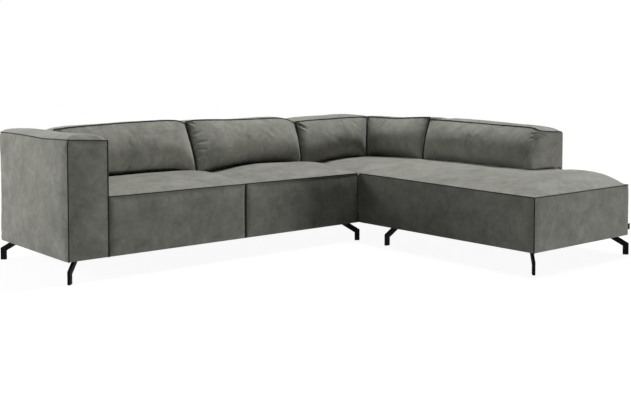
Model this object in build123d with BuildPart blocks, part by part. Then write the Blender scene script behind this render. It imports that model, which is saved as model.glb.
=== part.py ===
from build123d import *
import os
from math import radians, sqrt, tan

os.makedirs("parts", exist_ok=True)

# Overall sizes, in millimetres
sofa_length = 2080           # arm's outer face to the line where the two modules meet
sofa_depth = 900
chaise_width = 932
chaise_length = 2332
open_end = 482               # stretch of the chaise in front of its back
arm_width = 232
arm_height = 760             # welted edge of the arm's top
arm_rise = 22
leg_height = 120

# Seats
seat_seam = 448              # welted edge of the sofa's seats
tip_seam = 430               # welted edge at the chaise's tip
left_seat_rises = (25, 44, 52, 53, 44)       # crowns above the welt, from the arm to the divide
right_seat_rises = (3, 13, 56, 51, 44)       # from the divide to the inner corner
chaise_rises = (12, 65, 62, 59, 49, 42)      # from the tip to the rear
chaise_crest = 577           # from the chaise's inner welt to the top of its crown
chaise_shoulder = 90         # from the top of its crown down to its outer welt
cushion_sink = 22            # how far the back cushions' lowest edge lies under the tip's welt

# Backs
sofa_back_height = 795       # welted edge in the middle of a sofa back cushion
chaise_back_height = 778
back_dip = 14                # how far the welt drops at a cushion's ends
end_drop = 34                # how far it drops at the back's open end
back_top_depth = 240
back_foot_depth = 328
back_bulge = 26
edge_bulge = 9
back_top_rise = 8
end_draw = 26                # how far the open end's corner is drawn in
corner_cushion_length = 880
cap_depth = 50               # padding over the back frame's top rail

# Upholstery and frame
pad = 20                     # padding and cover outside the frame
arm_inner_pad = 12
arm_top_pad = 26
rail_thickness = 25
rail_height = 110
centre_rail_drop = 30
board_thickness = 18
base_board_thickness = 22
post_width = 25
post_depth = 60
top_rail_height = 45
block_height = 45
block_leg = 190
block_tip = 24
mid_block_length = 150
mid_block_width = 130
strap_width = 60
strap_thickness = 2
back_strap_count = 4
seat_strap_count = 4           # along Y in each seat, and along X across the sofa
felt_thickness = 6
dust_cover_thickness = 1
dust_cover_inset = 12
joint_recess = 12            # how far the sofa's frame stays back from the joint

# Legs
leg_bar_width = 33
leg_bar_thickness = 16
leg_slope = 31               # degrees below level
leg_knee = 72                # height of the outer side of the bend
leg_reach = 8                # beyond the corner of the upholstery
joint_leg_reach = -9         # of the rear legs beside the joint, clear of each other
leg_plate_length = 108
leg_plate_width = 76
leg_plate_thickness = 4
leg_plate_centre = 124       # from the corner
leg_plate_corner = 8
leg_screw_pitch = 56
leg_screw_gauge = 48
glide_height = 7
glide_round = 3
mid_leg_place = 262          # chaise's middle legs, in front of the sofa's front

# Fasteners, with their widths across the flats
fastener_sides = 6
screw_width = 5
screw_head_width = 10
screw_head_height = 2.5
screw_length = 24
bolt_diameter = 8
bolt_head_width = 17
bolt_head_height = 5
bolt_end = 12                # thread past the arm's board
bolt_from_end = 150
bolt_height = 78             # above the frame's underside

# Hook brackets that join the modules
hook_thickness = 2.5
hook_width = 60
hook_slot = 3.3
hook_lip = 36
socket_height = 72
hook_floor = 4               # above the frame's underside
hook_from_front = 170
hook_from_rear = 230
hook_pocket_margin = 4

# Plain tab sewn to the chaise's outer side, beside the corner of its tip
tab_reach = 22
tab_height = 37
tab_thickness = 2
tab_floor = 154
tab_from_tip = 4

# Clearances
module_gap = 4
soft_gap = 0.4
hole_gap = 0.2
cut_gap = 3

# Planes of the layout, with the origin under the middle of the upholstery and its tab
overall_width = sofa_length + chaise_width + tab_reach
x_left = -overall_width / 2
x_joint = x_left + sofa_length
x_right = x_joint + chaise_width
y_rear = chaise_length / 2
y_front = y_rear - sofa_depth
y_tip = -chaise_length / 2
y_back_end = y_tip + open_end
y_corner = y_rear - corner_cushion_length
y_mid_leg = y_front - mid_leg_place
x_arm = x_left + arm_width
x_sofa_end = x_joint - module_gap / 2
x_chaise = x_joint + module_gap / 2
x_split = (x_arm + x_sofa_end) / 2
x_rail_end = x_sofa_end - joint_recess
rail_top = leg_height + rail_height
strap_top = rail_top + 2 * strap_thickness
seat_floor = strap_top + felt_thickness
post_face = pad + post_depth
back_face = post_face + strap_thickness + soft_gap
seat_rear = y_rear - back_face
sofa_cap_floor = sofa_back_height - cap_depth
chaise_cap_floor = chaise_back_height - cap_depth
cushion_floor = tip_seam - cushion_sink
frame_end = y_back_end + pad


def save(piece, label):
    """Names a finished piece and writes it."""
    piece.part.label = label
    export_step(piece.part, f"parts/{label}.step")


def spread(start, end, count):
    """Even places between two limits, none on the limits."""
    return [start + (end - start) * (index + 1) / (count + 1) for index in range(count)]


def boards(label, boxes):
    """One node of straight boards, each given as its x, y and z limits."""
    with BuildPart() as piece:
        for (x0, x1), (y0, y1), (z0, z1) in boxes:
            with BuildSketch(Plane.XY.offset(z0)):
                with Locations(((x0 + x1) / 2, (y0 + y1) / 2)):
                    Rectangle(x1 - x0, y1 - y0)
            extrude(amount=z1 - z0)
    save(piece, label)
    return piece.part


def crown_section(plane, left, right, floor, seam, rise):
    """Flat-sided strip with a crowned top edge."""
    with BuildSketch(plane) as section:
        with BuildLine():
            Polyline((left, seam), (left, floor), (right, floor), (right, seam))
            ThreePointArc((right, seam), ((left + right) / 2, seam + rise), (left, seam))
        make_face()
    return section.sketch


def rear_wall(x):
    """Section plane of a cushion on the rear wall: local x runs forward from the wall."""
    return Plane(origin=(x, y_rear, 0), x_dir=(0, -1, 0), z_dir=(-1, 0, 0))


def side_wall(y):
    """Section plane of a cushion on the chaise's outer wall."""
    return Plane(origin=(x_right, y, 0), x_dir=(-1, 0, 0), z_dir=(0, 1, 0))


def cushion_section(plane, cap_floor, welt, bulge, draw=0):
    """Raked back cushion that hooks over the frame's top rail."""
    top = (back_top_depth - draw, welt)
    foot = (back_foot_depth - draw, cushion_floor)
    rear = (0, welt - back_top_rise)
    with BuildSketch(plane) as section:
        with BuildLine():
            Polyline(foot, (back_face, cushion_floor), (back_face, cap_floor), (0, cap_floor), rear)
            ThreePointArc(rear, (top[0] / 2, welt + back_top_rise / 2), top)
            ThreePointArc(top, ((top[0] + foot[0]) / 2 + bulge, (welt + cushion_floor) / 2), foot)
        make_face()
    return section.sketch


def end_to_end(start, end):
    """Places of a cushion's sections: its ends, its shoulders and its middle."""
    return [start + (end - start) * share for share in (0, 0.16, 0.5, 0.84, 1)]


# Legs: name of the leg, the corner of the upholstery above it and the way it points
diagonal = 1 / sqrt(2)
sofa_legs = {
    "sofa_leg_front_left": ((x_left, y_front), (-diagonal, -diagonal)),
    "sofa_leg_rear_left": ((x_left, y_rear), (-diagonal, diagonal)),
    "sofa_leg_front_right": ((x_sofa_end, y_front), (diagonal, -diagonal)),
    "sofa_leg_rear_right": ((x_sofa_end, y_rear), (diagonal, diagonal)),
}
chaise_legs = {
    "chaise_leg_tip_left": ((x_chaise, y_tip), (-diagonal, -diagonal)),
    "chaise_leg_tip_right": ((x_right, y_tip), (diagonal, -diagonal)),
    "chaise_leg_mid_left": ((x_chaise, y_mid_leg), (-1, 0)),
    "chaise_leg_mid_right": ((x_right, y_mid_leg), (1, 0)),
    "chaise_leg_rear_left": ((x_chaise, y_rear), (-diagonal, diagonal)),
    "chaise_leg_rear_right": ((x_right, y_rear), (diagonal, diagonal)),
}
joint_legs = ("sofa_leg_rear_right", "chaise_leg_rear_left")
plate_floor = leg_height - leg_plate_thickness


def bend_plane(corner, way):
    """Upright plane of a leg's bend: local x points outwards, local y up."""
    return Plane(origin=(*corner, 0), x_dir=(*way, 0), z_dir=(way[1], -way[0], 0))


def plan_plane(corner, way, height):
    """Level plane at a leg: local x points outwards."""
    return Plane(origin=(*corner, height), x_dir=(*way, 0), z_dir=(0, 0, 1))


def screw_pattern(corner, way, height, width):
    """Outlines of one leg's screws, or of their holes, at a height."""
    with BuildSketch(plan_plane(corner, way, height)) as pattern:
        with Locations((-leg_plate_centre, 0)):
            with GridLocations(leg_screw_pitch, leg_screw_gauge, 2, 2):
                RegularPolygon(width / 2, fastener_sides, major_radius=False)
    return pattern.sketch


def foot_reach(label):
    """How far a leg's foot stands beyond its corner."""
    return joint_leg_reach if label in joint_legs else leg_reach


def leg(label, corner, way):
    """Bar bent from a slant into an upright, welded to a screw plate."""
    outer = foot_reach(label)
    inner = outer - leg_bar_width
    run = 1 / tan(radians(leg_slope))
    inner_knee = leg_knee - leg_bar_width * tan(radians((90 - leg_slope) / 2))
    with BuildPart() as piece:
        with BuildSketch(bend_plane(corner, way)):
            with BuildLine():
                Polyline(
                    (outer, glide_height),
                    (outer, leg_knee),
                    (outer - (plate_floor - leg_knee) * run, plate_floor),
                    (inner - (plate_floor - inner_knee) * run, plate_floor),
                    (inner, inner_knee),
                    (inner, glide_height),
                    close=True,
                )
            make_face()
        extrude(amount=leg_bar_thickness / 2, both=True)
        with BuildSketch(plan_plane(corner, way, plate_floor)) as plate:
            with Locations((-leg_plate_centre, 0)):
                Rectangle(leg_plate_length, leg_plate_width)
            chamfer(plate.vertices(), leg_plate_corner)
        extrude(amount=leg_plate_thickness)
        holes = screw_pattern(corner, way, plate_floor, screw_width + 2 * hole_gap)
        extrude(holes, amount=leg_plate_thickness, mode=Mode.SUBTRACT)
    save(piece, label)


def glides(label, legs):
    """Plastic feet under a set of legs."""
    with BuildPart() as piece:
        for name, (corner, way) in legs.items():
            with BuildSketch(plan_plane(corner, way, 0)):
                with Locations((foot_reach(name) - leg_bar_width / 2, 0)):
                    Rectangle(leg_bar_width, leg_bar_thickness)
            extrude(amount=glide_height)
        fillet(piece.edges().group_by(Axis.Z)[0], glide_round)
    save(piece, label)


def leg_screws(label, legs):
    """Hexagon-headed wood screws under a set of legs."""
    with BuildPart() as piece:
        for corner, way in legs.values():
            heads = screw_pattern(corner, way, plate_floor - screw_head_height, screw_head_width)
            extrude(heads, amount=screw_head_height)
            extrude(screw_pattern(corner, way, plate_floor, screw_width), amount=screw_length)
    save(piece, label)


def pilot_holes(legs):
    """Cutting tool for the screws' holes in the wood above the legs."""
    with BuildPart() as tool:
        for corner, way in legs.values():
            holes = screw_pattern(corner, way, leg_height, screw_width + 2 * hole_gap)
            extrude(holes, amount=screw_length - leg_plate_thickness + hole_gap)
    return tool.part


def block_outline(corner, way):
    """Corner block with clipped tips, its square corner against two rails."""
    shape = ((0, 0), (block_leg, 0), (block_leg, block_tip), (block_tip, block_leg), (0, block_leg))
    return [(corner[0] - way[0] * x, corner[1] - way[1] * y) for x, y in shape]


def leg_blocks(label, corners, mid_blocks, legs):
    """Blocks in a base frame's corners, and beside its rails, that take the legs' screws."""
    with BuildPart() as piece:
        with BuildSketch(Plane.XY.offset(leg_height)):
            for corner, way in corners:
                with BuildLine():
                    Polyline(*block_outline(corner, way), close=True)
                make_face()
            for centre in mid_blocks:
                with Locations(centre):
                    Rectangle(mid_block_length, mid_block_width)
        extrude(amount=block_height)
        add(pilot_holes(legs), mode=Mode.SUBTRACT)
    save(piece, label)


def dust_cover(label, x0, x1, y0, y1, legs):
    """Cloth under a base frame, cut out round the legs' plates."""
    with BuildPart() as piece:
        with BuildSketch(Plane.XY.offset(leg_height - dust_cover_thickness)):
            with Locations(((x0 + x1) / 2, (y0 + y1) / 2)):
                Rectangle(x1 - x0 - 2 * dust_cover_inset, y1 - y0 - 2 * dust_cover_inset)
        extrude(amount=dust_cover_thickness)
        for corner, way in legs.values():
            with BuildSketch(plan_plane(corner, way, leg_height - dust_cover_thickness)):
                with Locations((-leg_plate_centre, 0)):
                    Rectangle(leg_plate_length + 2 * cut_gap, leg_plate_width + 2 * cut_gap)
            extrude(amount=dust_cover_thickness, mode=Mode.SUBTRACT)
    save(piece, label)


for name, (corner, way) in (sofa_legs | chaise_legs).items():
    leg(name, corner, way)
glides("sofa_leg_glides", sofa_legs)
glides("chaise_leg_glides", chaise_legs)
leg_screws("sofa_leg_screws", sofa_legs)
leg_screws("chaise_leg_screws", chaise_legs)

# Bolts that hold the arm to the sofa's base, along X
bolt_places = [
    (y, leg_height + bolt_height)
    for y in (y_front + bolt_from_end, (y_front + y_rear) / 2, y_rear - bolt_from_end)
]
arm_box_x = (x_left + pad, x_arm - arm_inner_pad)
arm_box_y = (y_front + pad, y_rear - pad)
arm_box_top = arm_height - arm_top_pad
arm_wall_floor = leg_height + base_board_thickness
arm_wall_top = arm_box_top - board_thickness
rail_inner = x_arm + rail_thickness
bolt_tip = arm_box_x[1] - board_thickness - bolt_end


def bolt_holes():
    """Cutting tool for the arm bolts' holes."""
    with BuildPart() as tool:
        with BuildSketch(Plane.YZ.offset(bolt_tip)):
            with Locations(*bolt_places):
                Circle(bolt_diameter / 2 + hole_gap)
        extrude(amount=rail_inner - bolt_tip)
    return tool.part


def drilled_board(label, x_limits, y_limits, z_limits, tool):
    """Straight board with holes cut by a tool."""
    (x0, x1), (y0, y1), (z0, z1) = x_limits, y_limits, z_limits
    with BuildPart() as piece:
        with BuildSketch(Plane.XY.offset(z0)):
            with Locations(((x0 + x1) / 2, (y0 + y1) / 2)):
                Rectangle(x1 - x0, y1 - y0)
        extrude(amount=z1 - z0)
        add(tool, mode=Mode.SUBTRACT)
    save(piece, label)


# Arm: a board box in a padded cover
arm_wall_z = (arm_wall_floor, arm_wall_top)
outer_board_x = (arm_box_x[0], arm_box_x[0] + board_thickness)
inner_board_x = (arm_box_x[1] - board_thickness, arm_box_x[1])
end_board_x = (outer_board_x[1], inner_board_x[0])
end_board_y = (
    (arm_box_y[0], arm_box_y[0] + board_thickness),
    (arm_box_y[1] - board_thickness, arm_box_y[1]),
)
arm_base_z = (leg_height, arm_wall_floor)
drilled_board("arm_base_board", arm_box_x, arm_box_y, arm_base_z, pilot_holes(sofa_legs))
drilled_board("arm_inner_board", inner_board_x, arm_box_y, arm_wall_z, bolt_holes())
boards("arm_outer_board", [(outer_board_x, arm_box_y, arm_wall_z)])
boards("arm_end_boards", [(end_board_x, limits, arm_wall_z) for limits in end_board_y])
boards("arm_top_board", [(arm_box_x, arm_box_y, (arm_wall_top, arm_box_top))])

with BuildPart() as arm_bolts:
    with BuildSketch(Plane.YZ.offset(bolt_tip)):
        with Locations(*bolt_places):
            Circle(bolt_diameter / 2)
    extrude(amount=rail_inner - bolt_tip)
    with BuildSketch(Plane.YZ.offset(rail_inner)):
        with Locations(*bolt_places):
            RegularPolygon(bolt_head_width / 2, fastener_sides, major_radius=False)
    extrude(amount=bolt_head_height)
save(arm_bolts, "arm_bolts")

arm_waves = (0.45, 1, 0.6, 1, 0.7)
with BuildPart() as arm_cover:
    loft([
        crown_section(Plane.XZ.offset(-y), x_left, x_arm, leg_height, arm_height, arm_rise * wave)
        for y, wave in zip(end_to_end(y_front, y_rear), arm_waves)
    ])
    with BuildSketch(Plane.XY.offset(leg_height)):
        with Locations((sum(arm_box_x) / 2, sum(arm_box_y) / 2)):
            Rectangle(arm_box_x[1] - arm_box_x[0], arm_box_y[1] - arm_box_y[0])
    extrude(amount=arm_box_top - leg_height, mode=Mode.SUBTRACT)
    add(bolt_holes(), mode=Mode.SUBTRACT)
save(arm_cover, "arm_cover")

# Sofa base
rail_z = (leg_height, rail_top)
low_rail_z = (leg_height, rail_top - centre_rail_drop)
front_rail_y = (y_front + pad, y_front + pad + rail_thickness)
rear_rail_y = (y_rear - pad - rail_thickness, y_rear - pad)
between_y = (front_rail_y[1], rear_rail_y[0])
sofa_frame_x = (x_arm, x_rail_end)
arm_rail_x = (x_arm, rail_inner)
joint_rail_x = (x_rail_end - rail_thickness, x_rail_end)
centre_rail_x = (x_split - rail_thickness / 2, x_split + rail_thickness / 2)
boards("sofa_front_rail", [(sofa_frame_x, front_rail_y, rail_z)])
boards("sofa_rear_rail", [(sofa_frame_x, rear_rail_y, rail_z)])
drilled_board("sofa_arm_rail", arm_rail_x, between_y, rail_z, bolt_holes())
boards("sofa_joint_rail", [(joint_rail_x, between_y, rail_z)])
boards("sofa_centre_rail", [(centre_rail_x, between_y, low_rail_z)])
sofa_corners = [
    ((arm_rail_x[1], between_y[0]), (-1, -1)),
    ((arm_rail_x[1], between_y[1]), (-1, 1)),
    ((joint_rail_x[0], between_y[0]), (1, -1)),
    ((joint_rail_x[0], between_y[1]), (1, 1)),
]
leg_blocks("sofa_corner_blocks", sofa_corners, [], sofa_legs)
dust_cover("sofa_dust_cover", x_left, x_sofa_end, y_front, y_rear, sofa_legs)

# Seat suspension: straps along Y on the rails, straps along X on those, felt over both
low_strap_z = (rail_top, rail_top + strap_thickness)
high_strap_z = (rail_top + strap_thickness, strap_top)


def strap(middle):
    """Limits of a strap about its middle line."""
    return (middle - strap_width / 2, middle + strap_width / 2)


sofa_long_straps = [
    *spread(arm_rail_x[1], centre_rail_x[0], seat_strap_count),
    *spread(centre_rail_x[1], joint_rail_x[0], seat_strap_count),
]
sofa_cross_straps = spread(front_rail_y[1], seat_rear, seat_strap_count)
boards(
    "sofa_seat_webbing",
    [(strap(x), (front_rail_y[0], rear_rail_y[1]), low_strap_z) for x in sofa_long_straps]
    + [(sofa_frame_x, strap(y), high_strap_z) for y in sofa_cross_straps],
)
boards("sofa_felt_pad", [(sofa_frame_x, (front_rail_y[0], seat_rear), (strap_top, seat_floor))])


def seat_cushion(label, x0, x1, rises):
    """Crowned seat with a front border that hangs over the front rail."""
    with BuildPart() as piece:
        loft([
            crown_section(Plane.YZ.offset(x), y_front, seat_rear, seat_floor, seat_seam, rise)
            for x, rise in zip(end_to_end(x0, x1), rises)
        ])
        with BuildSketch(Plane.XY.offset(leg_height)):
            with Locations(((x0 + x1) / 2, y_front + pad / 2)):
                Rectangle(x1 - x0, pad)
        extrude(amount=seat_floor - leg_height)
    save(piece, label)
    return piece.part


seat_left = seat_cushion("seat_cushion_left", x_arm, x_split - soft_gap / 2, left_seat_rises)
seat_right = seat_cushion("seat_cushion_right", x_split + soft_gap / 2, x_sofa_end, right_seat_rises)



def back_levels(cap_floor):
    """Limits along Z of a back's posts, top rail and panel, and the middles of its straps."""
    post_top = cap_floor - top_rail_height
    straps = spread(rail_top, post_top, back_strap_count)
    return (rail_top, post_top), (post_top, cap_floor), (leg_height, cap_floor - soft_gap), straps


# Sofa back
post_z, top_rail_z, panel_z, back_straps = back_levels(sofa_cap_floor)
rear_post_y = (y_rear - post_face, y_rear - pad)
rear_strap_y = (y_rear - post_face - strap_thickness, y_rear - post_face)
rear_panel_y = (y_rear - pad, y_rear)
boards("sofa_back_posts", [(x, rear_post_y, post_z) for x in (arm_rail_x, centre_rail_x, joint_rail_x)])
boards("sofa_back_top_rail", [(sofa_frame_x, rear_post_y, top_rail_z)])
boards("sofa_back_webbing", [(sofa_frame_x, rear_strap_y, strap(z)) for z in back_straps])
boards("sofa_back_panel", [((x_arm, x_sofa_end), rear_panel_y, panel_z)])


def lifted(seat):
    """A seat raised by the gap that a cushion keeps above it."""
    return seat.moved(Location((0, 0, soft_gap)))


def sofa_back_cushion(label, x0, x1, seat):
    """Back cushion that rests on its seat."""
    dips = (back_dip, 0, 0, 0, back_dip)
    bulges = (edge_bulge, back_bulge, back_bulge, back_bulge, edge_bulge)
    with BuildPart() as piece:
        loft([
            cushion_section(rear_wall(x), sofa_cap_floor, sofa_back_height - dip, bulge)
            for x, dip, bulge in zip(end_to_end(x0, x1), dips, bulges)
        ])
        add(lifted(seat), mode=Mode.SUBTRACT)
    save(piece, label)


sofa_back_cushion("back_cushion_left", x_arm, x_split - soft_gap / 2, seat_left)
sofa_back_cushion("back_cushion_middle", x_split + soft_gap / 2, x_sofa_end, seat_right)

# Chaise base
chaise_x = (x_chaise + pad, x_right - pad)
chaise_y = (y_tip + pad, y_rear - pad)
inner_rail_x = (chaise_x[0], chaise_x[0] + rail_thickness)
outer_rail_x = (chaise_x[1] - rail_thickness, chaise_x[1])
cross_x = (inner_rail_x[1], outer_rail_x[0])
tip_rail_y = (chaise_y[0], chaise_y[0] + rail_thickness)
end_post_y = (frame_end, frame_end + post_width)
mid_post_y = (y_corner - post_width / 2, y_corner + post_width / 2)
corner_post_y = (y_rear - post_face - 2 * post_width, y_rear - post_face)
boards("chaise_inner_rail", [(inner_rail_x, chaise_y, rail_z)])
boards("chaise_outer_rail", [(outer_rail_x, chaise_y, rail_z)])
boards("chaise_end_rails", [(cross_x, tip_rail_y, rail_z), (cross_x, rear_rail_y, rail_z)])
boards("chaise_cross_rails", [(cross_x, end_post_y, low_rail_z), (cross_x, mid_post_y, low_rail_z)])
chaise_corners = [
    ((inner_rail_x[1], tip_rail_y[1]), (-1, -1)),
    ((inner_rail_x[1], rear_rail_y[0]), (-1, 1)),
    ((outer_rail_x[0], tip_rail_y[1]), (1, -1)),
    ((outer_rail_x[0], rear_rail_y[0]), (1, 1)),
]
mid_blocks = [
    (inner_rail_x[1] + mid_block_length / 2, y_mid_leg),
    (outer_rail_x[0] - mid_block_length / 2, y_mid_leg),
]
leg_blocks("chaise_leg_blocks", chaise_corners, mid_blocks, chaise_legs)
dust_cover("chaise_dust_cover", x_chaise, x_right, y_tip, y_rear, chaise_legs)

# Chaise suspension and seat
side_face = x_right - back_face
chaise_long_straps = spread(inner_rail_x[1], side_face - post_width, seat_strap_count)
chaise_cross_straps = [
    *spread(tip_rail_y[1], end_post_y[0], seat_strap_count - 1),
    *spread(end_post_y[1], mid_post_y[0], seat_strap_count + 1),
    *spread(mid_post_y[1], corner_post_y[0], seat_strap_count - 1),
]
boards(
    "chaise_seat_webbing",
    [(strap(x), chaise_y, low_strap_z) for x in chaise_long_straps]
    + [(chaise_x, strap(y), high_strap_z) for y in chaise_cross_straps],
)
boards(
    "chaise_felt_pad",
    [((chaise_x[0], side_face), (chaise_y[0], seat_rear), (strap_top, seat_floor))],
)

hook_places = (y_front + hook_from_front, y_rear - hook_from_rear)
hook_base = leg_height + hook_floor
tongue_top = hook_base + hook_lip + 3 * hook_thickness
pocket_top = tongue_top + hook_pocket_margin


def chaise_section(y, seam, rise):
    """Section of the chaise's seat: it rises from the inner welt and rolls over at the outer one."""
    crest = (x_chaise + chaise_crest, seam + rise)
    shoulder = (x_right - chaise_shoulder, seam + rise)
    with BuildSketch(Plane.XZ.offset(-y)) as section:
        with BuildLine():
            Polyline((x_chaise, seam), (x_chaise, seat_floor), (x_right, seat_floor), (x_right, seam))
            TangentArc(shoulder, (x_right, seam), tangent=(1, 0))
            Line(crest, shoulder)
            TangentArc(crest, (x_chaise, seam), tangent=(-1, 0))
        make_face()
    return section.sketch


# The seam climbs from the tip to the sofa's own height
seam_climbs = (0, 0.25, 0.6, 0.9, 1, 1)
with BuildPart() as chaise_seat:
    sections = []
    for step, (climb, rise) in enumerate(zip(seam_climbs, chaise_rises)):
        y = y_tip + (seat_rear - y_tip) * step / (len(seam_climbs) - 1)
        sections.append(chaise_section(y, tip_seam + (seat_seam - tip_seam) * climb, rise))
    loft(sections)
    with BuildSketch(Plane.XY.offset(leg_height)):
        with Locations(((x_chaise + x_right) / 2, (y_tip + seat_rear) / 2)):
            Rectangle(x_right - x_chaise, seat_rear - y_tip)
        with Locations((sum(chaise_x) / 2, (chaise_y[0] + seat_rear) / 2)):
            Rectangle(chaise_x[1] - chaise_x[0], seat_rear - chaise_y[0], mode=Mode.SUBTRACT)
    extrude(amount=seat_floor - leg_height)
    with BuildSketch(Plane.XY.offset(leg_height)):
        with Locations((x_right - back_face / 2, (frame_end + seat_rear) / 2)):
            Rectangle(back_face, seat_rear - frame_end)
    extrude(amount=2 * seat_seam, mode=Mode.SUBTRACT)
    with BuildSketch(Plane.XY.offset(leg_height)):
        with Locations(*[(x_chaise + pad / 2, y) for y in hook_places]):
            Rectangle(pad, hook_width + 2 * hook_pocket_margin)
    extrude(amount=pocket_top - leg_height, mode=Mode.SUBTRACT)
save(chaise_seat, "chaise_seat_cushion")

# Chaise backs
post_z, top_rail_z, panel_z, back_straps = back_levels(chaise_cap_floor)
side_post_x = (x_right - post_face, x_right - pad)
side_strap_x = (x_right - post_face - strap_thickness, x_right - post_face)
rear_end_post_x = (side_post_x[0] - post_width, side_post_x[0])
side_strap_y = (frame_end, rear_strap_y[0] - soft_gap)
boards("chaise_rear_posts", [(x, rear_post_y, post_z) for x in (inner_rail_x, rear_end_post_x)])
boards("chaise_side_posts", [(side_post_x, y, post_z) for y in (end_post_y, mid_post_y, corner_post_y)])
boards("chaise_rear_top_rail", [((chaise_x[0], chaise_x[1]), rear_post_y, top_rail_z)])
boards("chaise_side_top_rail", [(side_post_x, (frame_end, rear_post_y[0]), top_rail_z)])
boards(
    "chaise_back_webbing",
    [((chaise_x[0], side_post_x[0]), rear_strap_y, strap(z)) for z in back_straps]
    + [(side_strap_x, side_strap_y, strap(z)) for z in back_straps],
)
boards("chaise_rear_panel", [((x_chaise, x_right), rear_panel_y, panel_z)])
boards("chaise_side_panel", [((x_right - pad, x_right), (frame_end, y_rear - pad), panel_z)])


def mitre(side):
    """Upright plane across the corner, on one side of the gap between the two corner cushions."""
    step = side * soft_gap / 2
    return Plane(origin=(x_right - step, y_rear + step, 0), z_dir=(-1, 1, 0))


with BuildPart() as corner_rear:
    corner_x = x_right - back_foot_depth
    loft([
        cushion_section(rear_wall(x), chaise_cap_floor, chaise_back_height - dip, bulge)
        for x, dip, bulge in (
            (x_chaise, back_dip, edge_bulge),
            (x_chaise + back_top_depth / 2, 0, back_bulge),
            ((x_chaise + corner_x) / 2, 0, back_bulge),
            (corner_x, 0, edge_bulge),
            (x_right, 0, edge_bulge),
        )
    ])
    split(bisect_by=mitre(1), keep=Keep.TOP)
    add(lifted(chaise_seat.part), mode=Mode.SUBTRACT)
save(corner_rear, "back_cushion_corner_rear")

with BuildPart() as corner_side:
    inner_y = y_rear - back_foot_depth
    loft([
        cushion_section(side_wall(y), chaise_cap_floor, chaise_back_height - dip, bulge)
        for y, dip, bulge in (
            (y_corner + soft_gap / 2, 0, edge_bulge),
            (y_corner + back_top_depth / 2, 0, back_bulge),
            ((y_corner + inner_y) / 2, 0, back_bulge),
            (inner_y, 0, edge_bulge),
            (y_rear, 0, edge_bulge),
        )
    ])
    split(bisect_by=mitre(-1), keep=Keep.BOTTOM)
    add(lifted(chaise_seat.part), mode=Mode.SUBTRACT)
save(corner_side, "back_cushion_corner_side")

with BuildPart() as chaise_back:
    loft([
        cushion_section(side_wall(y), chaise_cap_floor, chaise_back_height - dip, bulge, draw)
        for y, dip, bulge, draw in zip(
            end_to_end(y_back_end, y_corner - soft_gap / 2),
            (end_drop, back_dip / 2, 0, 0, 0),
            (edge_bulge, back_bulge, back_bulge, back_bulge, edge_bulge),
            (end_draw, 0, 0, 0, 0),
        )
    ])
    with BuildSketch(side_wall(y_back_end)):
        with Locations((back_face / 2, (cushion_floor + chaise_cap_floor) / 2)):
            Rectangle(back_face, chaise_cap_floor - cushion_floor)
    extrude(amount=pad)
    add(lifted(chaise_seat.part), mode=Mode.SUBTRACT)
save(chaise_back, "back_cushion_chaise")

# Hook brackets between the modules
socket_depth = 2 * hook_thickness + hook_slot
tongue_x = x_rail_end + hook_thickness + (hook_slot - hook_thickness) / 2
with BuildPart() as sofa_hooks:
    for y in hook_places:
        with BuildSketch(Plane.XZ.offset(-y)):
            with BuildLine():
                Polyline(
                    (x_rail_end, hook_base),
                    (x_rail_end + socket_depth, hook_base),
                    (x_rail_end + socket_depth, hook_base + hook_lip),
                    (x_rail_end + socket_depth - hook_thickness, hook_base + hook_lip),
                    (x_rail_end + socket_depth - hook_thickness, hook_base + hook_thickness),
                    (x_rail_end + hook_thickness, hook_base + hook_thickness),
                    (x_rail_end + hook_thickness, hook_base + socket_height),
                    (x_rail_end, hook_base + socket_height),
                    close=True,
                )
            make_face()
        extrude(amount=hook_width / 2, both=True)
save(sofa_hooks, "sofa_hook_sockets")

with BuildPart() as chaise_hooks:
    for y in hook_places:
        with BuildSketch(Plane.XZ.offset(-y)):
            with BuildLine():
                Polyline(
                    (tongue_x, hook_base + hook_thickness + soft_gap),
                    (tongue_x, tongue_top),
                    (chaise_x[0], tongue_top),
                    (chaise_x[0], hook_base),
                    (chaise_x[0] - hook_thickness, hook_base),
                    (chaise_x[0] - hook_thickness, tongue_top - hook_thickness),
                    (tongue_x + hook_thickness, tongue_top - hook_thickness),
                    (tongue_x + hook_thickness, hook_base + hook_thickness + soft_gap),
                    close=True,
                )
            make_face()
        extrude(amount=hook_width / 2, both=True)
save(chaise_hooks, "chaise_hook_tongues")

# Plain sewn tab near the tip
with BuildPart() as side_tab:
    with BuildSketch(Plane.XZ.offset(-(y_tip + tab_from_tip))):
        with Locations((x_right + tab_reach / 2, tab_floor + tab_height / 2)):
            Rectangle(tab_reach, tab_height)
    extrude(amount=tab_thickness)
    fillet(side_tab.edges().filter_by(Axis.Y).group_by(Axis.X)[-1], tab_thickness)
save(side_tab, "side_tab")
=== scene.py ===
"""Dresses the frame of a corner sofa in its covers, welts, panels and finishes, and sets its stage."""

from math import exp, pi, radians, sin, sqrt, tanh

import bmesh
import bpy
from bpy.props import FloatProperty, FloatVectorProperty, PointerProperty
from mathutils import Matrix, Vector, noise


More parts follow.
